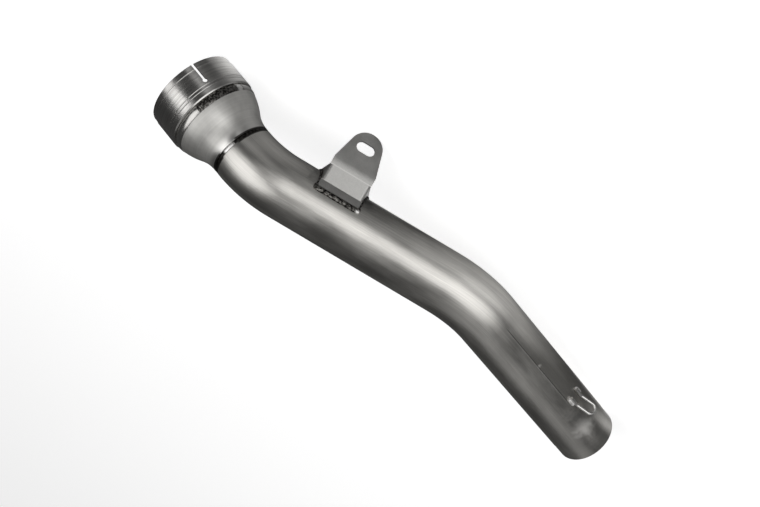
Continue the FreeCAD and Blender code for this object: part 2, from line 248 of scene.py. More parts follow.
def stretched_noise(nodes, links, coordinates, scale, size, detail):
    """Noise that is stretched by unequal scales along the axes of some coordinates."""
    mapping = nodes.new("ShaderNodeMapping")
    mapping.inputs["Scale"].default_value = scale
    links.new(coordinates, mapping.inputs["Vector"])
    noise = nodes.new("ShaderNodeTexNoise")
    noise.inputs["Scale"].default_value = size
    noise.inputs["Detail"].default_value = detail
    links.new(mapping.outputs["Vector"], noise.inputs["Vector"])
    return noise.outputs["Fac"]


def ramp(nodes, links, value, stops):
    """A colour ramp through stops of position and grey or colour."""
    node = nodes.new("ShaderNodeValToRGB")
    links.new(value, node.inputs["Fac"])
    elements = node.color_ramp.elements
    while len(elements) < len(stops):
        elements.new(0.5)
    for element, (position, colour) in zip(elements, stops):
        element.position = position
        element.color = (*colour, 1) if isinstance(colour, tuple) else (colour, colour, colour, 1)
    return node.outputs["Color"]


def math_node(nodes, links, operation, *values):
    node = nodes.new("ShaderNodeMath")
    node.operation = operation
    for socket, value in zip(node.inputs, values):
        if isinstance(value, (int, float)):
            socket.default_value = value
        else:
            links.new(value, socket)
    return node.outputs[0]


def mixed(nodes, links, share, first, second, blend="MIX"):
    """A mix of two colours. The share and the colours are values or sockets."""
    node = nodes.new("ShaderNodeMix")
    node.data_type = "RGBA"
    node.blend_type = blend
    for socket, value in zip((node.inputs[0], node.inputs[6], node.inputs[7]), (share, first, second)):
        if isinstance(value, tuple):
            socket.default_value = (*value, 1)
        elif isinstance(value, (int, float)):
            socket.default_value = value
        else:
            links.new(value, socket)
    return node.outputs[2]


def bump(nodes, links, height, distance, strength, under=None):
    node = nodes.new("ShaderNodeBump")
    node.inputs["Distance"].default_value = distance
    node.inputs["Strength"].default_value = strength
    links.new(height, node.inputs["Height"])
    if under is not None:
        links.new(under, node.inputs["Normal"])
    return node.outputs["Normal"]


def own_attribute(nodes, name):
    node = nodes.new("ShaderNodeAttribute")
    node.attribute_name = name
    return node.outputs["Vector"]


def spread_from(nodes, links, coordinates, centre, reach, stops, ragged=0.0):
    """A ramp outward from a centre. Its stops are shares of the reach, and a ragged one
    wanders by that share of it."""
    node = nodes.new("ShaderNodeVectorMath")
    node.operation = "DISTANCE"
    node.inputs[1].default_value = centre
    links.new(coordinates, node.inputs[0])
    share = math_node(nodes, links, "DIVIDE", node.outputs["Value"], reach)
    if ragged:
        edge = stretched_noise(nodes, links, coordinates, (1, 1, 1), 230.0, 4.0)
        edge = math_node(nodes, links, "SUBTRACT", edge, 0.5)
        share = math_node(nodes, links, "MULTIPLY_ADD", edge, ragged, share)
    return ramp(nodes, links, share, stops)


# Marks on the tube: a hazed smear past the spring hook and a tick on the seam, then a
# darker patch by the hook and heat tint by the bracket's corners.
hazed_marks = (((0.2015, 0.003, 0.0385), 0.012, 0.86), ((0.1285, 0.0335, 0.041), 0.0026, 0.95))
dark_marks = (
    ((0.189, 0.010, 0.0385), 0.012, 0.34),
    ((-0.0985, 0.034, 0.047), 0.013, 0.26),
    ((-0.060, 0.040, 0.042), 0.010, 0.34),
)


# The metal is darker in a narrow band at both sides of the neck weld, apart from a short
# stretch where it was dressed.
neck_dark_reach = 0.0013
dressed_spot = Vector((-0.1633, 0.0125, 0.0712))
dressed_reach = 0.010


# A narrow darker band at both sides of the neck weld, broken at the dressed spot.
def darkened_by_neck_weld(nodes, links, off_weld, colour):
    near = math_node(nodes, links, "DIVIDE", off_weld, neck_dark_reach)
    near = ramp(nodes, links, near, [(0.6, 0.92), (1.0, 0.0)])
    where = nodes.new("ShaderNodeTexCoord").outputs["Object"]
    raw = spread_from(nodes, links, where, dressed_spot, dressed_reach, [(0.75, 0.0), (0.9, 1.0)], 0.4)
    share = math_node(nodes, links, "MULTIPLY", near, raw)
    return mixed(nodes, links, share, colour, (0.035, 0.033, 0.03))


def brushed_tube_finish(length, seam_angle):
    """Lengthwise brushing, skimmed rings at the outlet and, along the last straight, the
    drawn tube's seam: a dark line with a painted highlight along one edge, and a darker
    band along its other side.
    The coordinates are those of the straight tube, before it was bent."""
    material, nodes, links, shader = metal("brushed_tube", (0.60, 0.585, 0.555), 0.33)
    place = own_attribute(nodes, "straight_bar")
    split = nodes.new("ShaderNodeSeparateXYZ")
    links.new(place, split.inputs[0])
    along, across, upward = split.outputs
    streaks = stretched_noise(nodes, links, place, (5, 260, 260), 6.0, 6.0)
    scratches = stretched_noise(nodes, links, place, (30, 1500, 1500), 4.0, 3.0)
    clouds = stretched_noise(nodes, links, place, (14, 45, 45), 1.6, 3.0)
    rings = stretched_noise(nodes, links, place, (5200, 12, 12), 1.0, 2.0)
    skimmed = math_node(nodes, links, "GREATER_THAN", along, length - skim_length - skim_taper)
    grain = mixed(nodes, links, skimmed, streaks, rings)
    tone = ramp(nodes, links, grain, [(0.28, (0.56, 0.546, 0.517)), (0.72, (0.74, 0.723, 0.686))])
    patch = ramp(nodes, links, clouds, [(0.34, 0.80), (0.66, 1.08)])
    colour = mixed(nodes, links, 1.0, tone, patch, "MULTIPLY")
    turned = math_node(nodes, links, "ARCTAN2", upward, across)
    from_seam = math_node(nodes, links, "SUBTRACT", turned, seam_angle)
    from_seam = math_node(nodes, links, "WRAP", from_seam, math.pi, -math.pi)
    off_seam = math_node(nodes, links, "MULTIPLY_ADD", from_seam, 5.0, 0.5)
    dark = ramp(nodes, links, off_seam, [(0.42, 0.0), (0.47, 0.95), (0.52, 0.95), (0.56, 0.0)])
    # The pale edge beside the seam's dark line is a painted highlight, and it is less metal there.
    bright = ramp(nodes, links, off_seam, [(0.56, 0.0), (0.60, 0.4), (0.62, 0.4), (0.66, 0.0)])
    back = math_node(nodes, links, "SUBTRACT", length, along)
    back = math_node(nodes, links, "DIVIDE", back, outlet_length)
    seamed = ramp(nodes, links, back, [(0.36, 0.0), (0.40, 1.0), (0.97, 1.0), (1.0, 0.0)])
    dark = math_node(nodes, links, "MULTIPLY", dark, seamed)
    bright = math_node(nodes, links, "MULTIPLY", bright, seamed)
    # A broad darker band runs along the seam's other side, over the middle of the last straight.
    beside = math_node(nodes, links, "MULTIPLY_ADD", from_seam, -0.8, 0.1)
    beside = ramp(nodes, links, beside, [(0.09, 0.0), (0.11, 0.6), (0.45, 0.48), (0.95, 0.0)])
    darker_side = ramp(nodes, links, back, [(0.10, 0.0), (0.42, 1.0), (0.70, 1.0), (0.95, 0.0)])
    darker_side = math_node(nodes, links, "MULTIPLY", darker_side, beside)
    colour = mixed(nodes, links, darker_side, colour, (0.40, 0.39, 0.365))
    where = nodes.new("ShaderNodeTexCoord").outputs["Object"]
    for centre, reach, shade in hazed_marks + dark_marks:
        mark = spread_from(nodes, links, where, centre, reach, [(0.1, 0.9), (1.0, 0.0)], 1.6)
        colour = mixed(nodes, links, mark, colour, (shade, shade * 0.98, shade * 0.94))
    colour = mixed(nodes, links, dark, colour, (0.10, 0.097, 0.09))
    # The painted highlight beside the seam is mixed in here.
    colour = mixed(nodes, links, bright, colour, (0.95, 0.93, 0.9))
    colour = darkened_by_neck_weld(nodes, links, along, colour)
    links.new(colour, shader.inputs["Base Color"])
    bare = math_node(nodes, links, "MULTIPLY_ADD", bright, -0.5, 1.0)
    for centre, reach, _ in hazed_marks:
        haze = spread_from(nodes, links, where, centre, reach, [(0.1, 0.55), (1.0, 1.0)], 1.6)
        bare = math_node(nodes, links, "MINIMUM", bare, haze)
    links.new(bare, shader.inputs["Metallic"])
    rough = ramp(nodes, links, clouds, [(0.3, 0.29), (0.7, 0.40)])
    links.new(rough, shader.inputs["Roughness"])
    normal = bump(nodes, links, grain, 0.00012, 0.35)
    normal = bump(nodes, links, scratches, 0.00005, 0.25, normal)
    links.new(normal, shader.inputs["Normal"])
    return material


def nearest_attribute(mesh, name, point):
    spot = min(mesh.vertices, key=lambda vertex: (vertex.co - point).length_squared)
    return mesh.attributes[name].data[spot.index].vector


route_corners = [tube_start, inlet_corner, outlet_corner, outlet_end]
tube_route = filleted(route_corners, [bend_radius, bend_radius], bend_step)
skim_back = outlet_end - outlet_axis * (skim_length + skim_taper)
skim_front = outlet_end - outlet_axis * skim_length
tube_route = tube_route[:-1] + [skim_back, skim_front, outlet_end]
skim_share = 1 - skim_depth / tube_radius
tube_radii = [1.0] * (len(tube_route) - 2) + [skim_share, skim_share]
tube_length = sum((after - before).length for before, after in zip(tube_route, tube_route[1:]))

tube = bar_along("tube_body", tube_route, tube_radii, tube_radius, tube_sides, False, None)

# The seam of the drawn tube faces the camera's side on the last straight. It is placed by
# the inside of the second bend, which the straight's own direction gives.
middle_axis = (outlet_corner - inlet_corner).normalized()
outlet_toward = -(middle_axis - outlet_axis * middle_axis.dot(outlet_axis)).normalized()
seam_turn = math.radians(-158)
seam_out = outlet_toward * math.cos(seam_turn) + outlet_axis.cross(outlet_toward) * math.sin(seam_turn)
seam_point = nearest_attribute(tube.data, "straight_bar", outlet_end + seam_out * tube_radius)
seam_angle = math.atan2(seam_point.z, seam_point.y)
tube.data.materials.clear()
tube.data.materials.append(brushed_tube_finish(tube_length, seam_angle))

wall = tube.modifiers.new("wall", "SOLIDIFY")
wall.thickness = tube_wall
wall.offset = -1
rounded(tube, rim_round, 60)
tube = made_real(tube, "tube_body")
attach(tube, "root")
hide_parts("bent_tube")


# Spun reducer. A cone of sheet, spun from the tube's 50.8 mm to 70 mm in a hollow arc at
# the neck and a crowned arc at the bowl, then blasted to a pale satin. Its neck is
# polished where the weld was dressed.

neck_weld_width = 0.003
reducer_rim_round = 0.0002
neck_land = 0.0014
neck_arc = 0.02992
reducer_flare = 0.0096
neck_slope = math.radians(30)
mouth_slope = math.radians(14)
wide_land = 0.0035
polish_reach = 0.012
arc_steps = 14
lathe_sides = 208

inlet_toward = middle_axis + mouth_axis * middle_axis.dot(-mouth_axis)
inlet_toward = inlet_toward.normalized()
lathe_axes = Matrix((inlet_toward, mouth_axis.cross(inlet_toward), mouth_axis)).transposed()
lathe_frame = Matrix.Translation(tube_start) @ lathe_axes.to_4x4()


def keep_vectors(mesh, name, vectors):
    """Keeps a vector for each point of a mesh, in an attribute."""
    kept = mesh.attributes.new(name, "FLOAT_VECTOR", "POINT")
    kept.data.foreach_set("vector", [value for vector in vectors for value in vector])


def face_outward(mesh):
    shape = bmesh.new()
    shape.from_mesh(mesh)
    bmesh.ops.recalc_face_normals(shape, faces=shape.faces)
    shape.to_mesh(mesh)
    shape.free()


def turned_piece(name, profile, sides):
    """A closed shape turned about the inlet's axis, from a profile of radius and height
    that runs with its metal on the left. Each point keeps its place on the lathe in the
    attribute on_lathe."""
    mesh = bpy.data.meshes.new(name)
    places = []
    for index in range(sides):
        angle = 2 * math.pi * index / sides
        for radius, height in profile:
            places.append(Vector((radius * math.cos(angle), radius * math.sin(angle), height)))
    faces = []
    count = len(profile)
    for index in range(sides):
        here, onward = index * count, (index + 1) % sides * count
        for step in range(count):
            after = (step + 1) % count
            faces.append((here + step, onward + step, onward + after, here + after))
    mesh.from_pydata([lathe_frame @ place for place in places], [], faces)
    keep_vectors(mesh, "on_lathe", places)
    face_outward(mesh)
    return in_scene(name, mesh)


def arc(centre, radius, first, last, steps):
    """The radii and heights of points on an arc, between angles from outward toward up."""
    angles = [first + (last - first) * step / steps for step in range(steps + 1)]
    return [(centre[0] + radius * math.cos(a), centre[1] + radius * math.sin(a)) for a in angles]


taper_start = neck_weld_width + neck_land
neck_rise = neck_arc * (1 - math.cos(neck_slope))
bowl_arc = (reducer_flare - neck_rise) / (math.cos(mouth_slope) - math.cos(neck_slope))
bowl_reach = bowl_arc * (math.sin(neck_slope) - math.sin(mouth_slope))
taper_end = taper_start + neck_arc * math.sin(neck_slope) + bowl_reach
reducer_end = taper_end + wide_land
wide_radius = tube_radius + reducer_flare
wide_inner = wide_radius - tube_wall * math.cos(mouth_slope)
bore_radius = tube_radius - tube_wall

neck_centre = (tube_radius + neck_arc, taper_start)
meeting_radius = neck_centre[0] - neck_arc * math.cos(neck_slope)
meeting_height = taper_start + neck_arc * math.sin(neck_slope)
bowl_centre = (
    meeting_radius - bowl_arc * math.cos(neck_slope),
    meeting_height + bowl_arc * math.sin(neck_slope),
)
steep = math.pi - neck_slope
outside = [(tube_radius, neck_weld_width)]
outside = outside + arc(neck_centre, neck_arc, math.pi, steep, arc_steps)
outside = outside + arc(bowl_centre, bowl_arc, -neck_slope, -mouth_slope, arc_steps)[1:]
outside = outside + [(wide_radius, reducer_end)]
inside = [(bore_radius, neck_weld_width)]
inside = inside + arc(neck_centre, neck_arc + tube_wall, math.pi, steep, arc_steps)
inside = inside + arc(bowl_centre, bowl_arc - tube_wall, -neck_slope, -mouth_slope, arc_steps)[1:]
inside = inside + [(wide_inner, reducer_end)]


def blasted_reducer_finish():
    """Pale blasted satin with faint spinning rings, and a polished band at the neck."""
    material, nodes, links, shader = metal("blasted_reducer", (0.70, 0.69, 0.665), 0.52)
    place = own_attribute(nodes, "on_lathe")
    split = nodes.new("ShaderNodeSeparateXYZ")
    links.new(place, split.inputs[0])
    height = split.outputs["Z"]
    grain = stretched_noise(nodes, links, place, (1, 1, 1), 2600.0, 2.0)
    rings = stretched_noise(nodes, links, place, (10, 10, 900), 1.0, 3.0)
    smears = stretched_noise(nodes, links, place, (70, 70, 28), 1.0, 3.0)
    tone = ramp(nodes, links, smears, [(0.32, (0.55, 0.542, 0.52)), (0.68, (0.73, 0.72, 0.694))])
    spun = ramp(nodes, links, rings, [(0.3, 0.93), (0.7, 1.04)])
    colour = mixed(nodes, links, 1.0, tone, spun, "MULTIPLY")
    worn = math_node(nodes, links, "DIVIDE", height, polish_reach)
    polished = ramp(nodes, links, worn, [(0.45, 1.0), (0.9, 0.0)])
    colour = mixed(nodes, links, polished, colour, (0.78, 0.77, 0.745))
    off_weld = math_node(nodes, links, "SUBTRACT", height, neck_weld_width)
    colour = darkened_by_neck_weld(nodes, links, off_weld, colour)
    links.new(colour, shader.inputs["Base Color"])
    links.new(ramp(nodes, links, worn, [(0.45, 0.31), (0.85, 0.50)]), shader.inputs["Roughness"])
    links.new(ramp(nodes, links, worn, [(0.45, 1.0), (0.9, 0.86)]), shader.inputs["Metallic"])
    normal = bump(nodes, links, grain, 0.00004, 0.30)
    normal = bump(nodes, links, rings, 0.00006, 0.18, normal)
    links.new(normal, shader.inputs["Normal"])
    return material


reducer = turned_piece("reducer_shell", outside + inside[::-1], lathe_sides)
reducer.data.materials.append(blasted_reducer_finish())
rounded(reducer, reducer_rim_round, 50)
reducer = made_real(reducer, "reducer_shell")
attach(reducer, "root")
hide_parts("reducer")


# Butt weld at the neck. A narrow fused ring, left dark by the heat, a little below the
# metal on each side, with the ripples of its puddle. It was dressed bright at one spot.

neck_weld_recess = 0.0004
neck_weld_crown = 0.00028
neck_ring_steps = 900
dressed_half = 0.0058
weld_raggedness = 0.005


def ripple_tree():
    """Geometry Nodes for the ripples of a weld puddle. The attribute bead_run holds the
    way along a bead and its height, from 0 at the toes to 1 at the crown. Crescents are
    pressed in along the run, deepest on the crown, and each is a little out of step."""
    kinds = {
        "Bead": "Geometry",
        "Pitch": "Float",
        "Depth": "Float",
        "Bow": "Float",
        "Seed": "Float",
        "Finish": "Material",
    }
    tree, identifiers = named_tree("weld_ripples", kinds, "Rippled bead")
    add, link = tree.nodes.new, tree.links.new
    given = add("NodeGroupInput").outputs

    def sums(operation, *values):
        return math_node(tree.nodes, tree.links, operation, *values)

    run = add("GeometryNodeInputNamedAttribute")
    run.data_type = "FLOAT_VECTOR"
    run.inputs["Name"].default_value = "bead_run"
    split = add("ShaderNodeSeparateXYZ")
    link(run.outputs["Attribute"], split.inputs[0])
    along, height = split.outputs["X"], split.outputs["Y"]
    low = sums("SUBTRACT", 1.0, height)
    behind = sums("MULTIPLY", sums("MULTIPLY", low, low), given["Bow"])
    wobble = add("ShaderNodeTexNoise")
    wobble.noise_dimensions = "4D"
    wobble.inputs["Scale"].default_value = 320.0
    link(given["Seed"], wobble.inputs["W"])
    unsteady = sums("MULTIPLY", sums("SUBTRACT", wobble.outputs["Fac"], 0.5), 1.4)
    phase = sums("ADD", sums("DIVIDE", sums("ADD", along, behind), given["Pitch"]), unsteady)
    scallop = sums("ABSOLUTE", sums("SINE", sums("MULTIPLY", phase, math.pi)))
    rough = sums("MULTIPLY", sums("SUBTRACT", wobble.outputs["Fac"], 0.5), 0.8)
    press = sums("SUBTRACT", sums("ADD", scallop, rough), 1.2)
    depth = sums("MULTIPLY", sums("MULTIPLY", press, given["Depth"]), height)
    push = add("ShaderNodeVectorMath")
    push.operation = "SCALE"
    link(add("GeometryNodeInputNormal").outputs[0], push.inputs[0])
    link(depth, push.inputs["Scale"])
    move = add("GeometryNodeSetPosition")
    link(given["Bead"], move.inputs["Geometry"])
    link(push.outputs[0], move.inputs["Offset"])
    end_tree(tree, move.outputs["Geometry"], given["Finish"])
    return tree, identifiers


weld_ripples = ripple_tree()


def bead_shape(name, centres, outs, section, closed, raw=None):
    """A bead along a row of centres. Its section is pairs of the way across and the way
    out, and the height kept for the ripples runs from 0 at the toes to 1 at the crown.
    The raw stretch is a place along the bead and half its length: it alone has ripples."""
    mesh = bpy.data.meshes.new(name)
    count, rows = len(section), len(centres)
    low = min(out for _, out in section)
    crown = max(out for _, out in section) - low
    verts, runs = [], []
    along = 0.0
    for index, (centre, out) in enumerate(zip(centres, outs)):
        before, after = centres[index - 1], centres[(index + 1) % rows]
        if not closed:
            before, after = centres[max(index - 1, 0)], centres[min(index + 1, rows - 1)]
        side = (after - before).cross(out).normalized()
        if index:
            along += (centre - centres[index - 1]).length
        rippling = 1.0 if raw is None or abs(along - raw[0]) < raw[1] else 0.0
        for across, outward in section:
            verts.append(centre + side * across + out * outward)
            runs.append((along, rippling * (outward - low) / crown, 0.0))
    faces = []
    for index in range(rows if closed else rows - 1):
        here, onward = index * count, (index + 1) % rows * count
        for step in range(count):
            after = (step + 1) % count
            faces.append((here + step, here + after, onward + after, onward + step))
    if not closed:
        faces.append(tuple(range(count - 1, -1, -1)))
        faces.append(tuple(range((rows - 1) * count, rows * count)))
    mesh.from_pydata(verts, [], faces)
    keep_vectors(mesh, "bead_run", runs)
    face_outward(mesh)
    return in_scene(name, mesh)


def rippled(bead, pitch, depth, bow, seed, finish):
    values = {"Pitch": pitch, "Depth": depth, "Bow": bow, "Seed": seed, "Finish": finish}
    return shaped_by(bead, bead.name, weld_ripples, values)


def ring_about_inlet(radius, height, steps):
    """The centres and outward directions of a ring about the inlet's axis."""
    centres, outs = [], []
    for step in range(steps):
        angle = 2 * math.pi * step / steps
        out = lathe_axes @ Vector((math.cos(angle), math.sin(angle), 0))
        centres.append(tube_start + mouth_axis * height + out * radius)
        outs.append(out)
    return centres, outs


def weld_finish(name, dark, light, roughness, tack=None, raw=None):
    """Weld metal, dark between the ripples and bare on their crests. A tack is a place
    along the bead, and half its length, that was left bright. Beyond its raw stretch,
    given in the same way, a bead was dressed and turned bright."""
    material, nodes, links, shader = metal(name, light, roughness)
    coordinates = nodes.new("ShaderNodeTexCoord").outputs["Object"]
    patches = stretched_noise(nodes, links, coordinates, (1, 1, 1), 620.0, 4.0)
    grain = stretched_noise(nodes, links, coordinates, (1, 1, 1), 2400.0, 3.0)
    colour = ramp(nodes, links, patches, [(0.42, dark), (0.62, light)])
    split = nodes.new("ShaderNodeSeparateXYZ")
    links.new(own_attribute(nodes, "bead_run"), split.inputs[0])
    for stretch, stops, bare in (
        (tack, [(0.7, 1.0), (1.0, 0.0)], (0.84, 0.83, 0.81)),
        (raw, [(0.97, 0.0), (1.0, 1.0)], (0.56, 0.55, 0.53)),
    ):
        if stretch:
            away = math_node(nodes, links, "SUBTRACT", split.outputs["X"], stretch[0])
            away = math_node(nodes, links, "ABSOLUTE", away)
            away = math_node(nodes, links, "MULTIPLY_ADD", patches, weld_raggedness, away)
            away = math_node(nodes, links, "DIVIDE", away, stretch[1] + weld_raggedness / 2)
            colour = mixed(nodes, links, ramp(nodes, links, away, stops), colour, bare)
    links.new(colour, shader.inputs["Base Color"])
    links.new(bump(nodes, links, grain, 0.00005, 0.4), shader.inputs["Normal"])
    return material


def crowned_section(width, base, crown, steps):
    """A bead's section: flat below, at its base, and a shallow arch to its crown above."""
    arch = []
    for step in range(steps + 1):
        share = step / steps * 2 - 1
        arch.append((share * width / 2, base + (crown - base) * (1 - share * share)))
    return arch


neck_mid = neck_weld_width / 2
centres, outs = ring_about_inlet(tube_radius - neck_weld_recess, neck_mid, neck_ring_steps)
neck_floor = neck_weld_recess - tube_wall
arch = crowned_section(neck_weld_width, 0.0, neck_weld_crown, 12)
section = arch + [(neck_mid, neck_floor), (-neck_mid, neck_floor)]
neck_bead = bead_shape("neck_bead", centres, outs, section, True)
dressed_out = dressed_spot - tube_start
dressed_angle = math.atan2(dressed_out.dot(lathe_axes.col[1]), dressed_out.dot(lathe_axes.col[0]))
dressed_run = dressed_angle % (2 * math.pi) * (tube_radius - neck_weld_recess)
neck_metal = weld_finish(
    "neck_weld", (0.012, 0.011, 0.01), (0.06, 0.057, 0.052), 0.30, (dressed_run, dressed_half)
)
neck_bead = rippled(neck_bead, pitch=0.0011, depth=0.00009, bow=0.0006, seed=3.0, finish=neck_metal)
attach(neck_bead, "root")
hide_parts("neck_weld")


# Weld bead at the sleeve. A wide flat bead in the recess between the reducer and the
# sleeve, dressed smooth and bright all round but for one dark stretch, where the ripples
# are raw and a tack shows.

sleeve_seat = 0.0036
sleeve_weld_crown = 0.0009
sleeve_weld_sink = 0.0001
sleeve_ring_steps = 1200
raw_middle = math.radians(252)
raw_half = math.radians(36)
sleeve_tack_angle = math.radians(282)
sleeve_tack_half = 0.0034
sleeve_back = reducer_end + sleeve_seat
bead_width = sleeve_back - taper_end

centres, outs = ring_about_inlet(wide_radius, (taper_end + sleeve_back) / 2, sleeve_ring_steps)
arch = crowned_section(bead_width, 0.0, sleeve_weld_crown, 16)
foot_half = bead_width / 2 - sleeve_weld_sink
section = arch + [(foot_half, -sleeve_weld_sink), (-foot_half, -sleeve_weld_sink)]
raw = (raw_middle * wide_radius, raw_half * wide_radius)
sleeve_bead = bead_shape("sleeve_bead", centres, outs, section, True, raw)
tack = (sleeve_tack_angle * wide_radius, sleeve_tack_half)
sleeve_metal = weld_finish("sleeve_weld", (0.02, 0.019, 0.017), (0.26, 0.25, 0.235), 0.26, tack, raw)
sleeve_bead = rippled(sleeve_bead, pitch=0.0017, depth=0.00018, bow=0.0022, seed=8.0, finish=sleeve_metal)
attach(sleeve_bead, "root")
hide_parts("sleeve_weld")


# Turned slip-on sleeve. Cut on a lathe from thick tube: a bored socket that the header
# pipe slips into, a lip at the mouth, two fine grooves near its back, and two slots with
# round ends that let a clamp close it. The turning left bright fine rings.

sleeve_radius = wide_radius + 0.0019
sleeve_bore_radius = sleeve_radius - 0.0017
sleeve_back_chamfer = 0.0008
lip_length = 0.0053
lip_step = 0.0005
lip_chamfer = 0.0004
lip_line = 0.00035
groove_width = 0.0006
groove_depth = 0.00035
groove_to_back = 0.005
groove_spacing = 0.0026
slot_width = 0.0021
slot_end_radius = 0.00185
slot_depth = 0.0171
slot_angle = math.radians(65.8)
sleeve_sides = 288
sleeve_edge_round = 0.00012

lip_start = mouth_station - lip_length
lip_radius = sleeve_radius - lip_step
bore_stop = mouth_station - sleeve_bore_depth
profile = [
    (wide_inner, reducer_end),
    (wide_radius, reducer_end),
    (wide_radius, sleeve_back),
    (sleeve_radius - sleeve_back_chamfer, sleeve_back),
    (sleeve_radius, sleeve_back + sleeve_back_chamfer),
]
for count in range(2):
    groove = sleeve_back + groove_to_back + count * groove_spacing
    profile.append((sleeve_radius, groove - groove_width / 2))
    profile.append((sleeve_radius - groove_depth, groove))
    profile.append((sleeve_radius, groove + groove_width / 2))
profile = profile + [
    (sleeve_radius, lip_start - lip_line),
    (lip_radius - lip_line, lip_start + lip_step - lip_line),
    (lip_radius, lip_start + lip_step),
    (lip_radius, mouth_station - lip_chamfer),
    (lip_radius - lip_chamfer, mouth_station),
    (sleeve_bore_radius, mouth_station),
    (sleeve_bore_radius, bore_stop),
    (wide_inner, bore_stop),
]


def slot_cutter():
    """The shape of both slots, straight across the sleeve: a keyhole pushed sideways. It
    stands past the mouth and past the sleeve's sides, so that it cuts clean through."""
    narrow = math.asin(slot_width / 2 / slot_end_radius)
    outline = [(slot_width / 2, slot_depth * 1.2), (-slot_width / 2, slot_depth * 1.2)]
    steps = 20
    for step in range(steps + 1):
        angle = math.pi / 2 + narrow + (2 * math.pi - 2 * narrow) * step / steps
        outline.append((slot_end_radius * math.cos(angle), slot_end_radius * math.sin(angle)))
    reach = sleeve_radius * 1.3
    verts, count = [], len(outline)
    turn = Matrix.Rotation(slot_angle, 4, "Z")
    for side in (-1, 1):
        for across, up in outline:
            place = Vector((side * reach, across, mouth_station - slot_depth + up))
            verts.append(lathe_frame @ (turn @ place))
    faces = [tuple(range(count)), tuple(range(2 * count - 1, count - 1, -1))]
    for step in range(count):
        after = (step + 1) % count
        faces.append((step, count + step, count + after, after))
    mesh = bpy.data.meshes.new("slot_cutter")
    mesh.from_pydata(verts, [], faces)
    face_outward(mesh)
    return in_scene("slot_cutter", mesh)


def turned_sleeve_finish():
    """Bright turned steel: close rings of uneven depth about the sleeve's own axis."""
    material, nodes, links, shader = metal("turned_sleeve", (0.56, 0.55, 0.53), 0.2)
    place = own_attribute(nodes, "on_lathe")
    fine = stretched_noise(nodes, links, place, (6, 6, 5200), 1.0, 2.0)
    broad = stretched_noise(nodes, links, place, (9, 9, 900), 1.0, 2.0)
    smudges = stretched_noise(nodes, links, place, (60, 60, 60), 1.0, 4.0)
    tone = ramp(nodes, links, broad, [(0.3, (0.47, 0.46, 0.445)), (0.7, (0.62, 0.61, 0.59))])
    links.new(tone, shader.inputs["Base Color"])
    rough = ramp(nodes, links, smudges, [(0.32, 0.17), (0.68, 0.27)])
    links.new(rough, shader.inputs["Roughness"])
    normal = bump(nodes, links, fine, 0.00006, 0.22)
    normal = bump(nodes, links, broad, 0.00008, 0.12, normal)
    links.new(normal, shader.inputs["Normal"])
    return material


sleeve = turned_piece("sleeve_body", profile, sleeve_sides)
cutter = slot_cutter()
slots = sleeve.modifiers.new("slots", "BOOLEAN")
slots.operation = "DIFFERENCE"
slots.solver = "EXACT"
slots.object = cutter
rounded(sleeve, sleeve_edge_round, 25)
sleeve.data.materials.append(turned_sleeve_finish())
sleeve = made_real(sleeve, "sleeve_body")
bpy.data.objects.remove(cutter)
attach(sleeve, "root")
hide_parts("inlet_sleeve")


# Hanger bracket. One blank of 2 mm sheet with a laser-cut outline: a foot that lies on the
# tube, a plate, a tab that leans back with a slotted hole, and two ears folded back and
# cut to the tube. The solid has its true folds, so its own mesh is used. A thin light line
# is painted across the plate, all of it equally far from the tube's axis: a painted highlight.

sheet_edge_round = 0.00022
highlight_line_half = 0.0005
highlight_line_point = Vector((-0.082752, 0.046825, 0.03618))
highlight_line_distance = (highlight_line_point - inlet_corner).cross(middle_axis).length


def merged_copy(node, name, round_width):
    """A copy of a CAD node's mesh, with its flat faces whole again and its edges rounded."""
    mesh = frame["nodes"][node].data.copy()
    mesh.name = name
    mesh.materials.clear()
    shape = bmesh.new()
    shape.from_mesh(mesh)
    bmesh.ops.remove_doubles(shape, verts=shape.verts, dist=0.000001)
    bmesh.ops.dissolve_limit(shape, angle_limit=math.radians(0.4), verts=shape.verts, edges=shape.edges)
    shape.to_mesh(mesh)
    shape.free()
    piece = in_scene(name, mesh)
    rounded(piece, round_width, 35)
    return piece


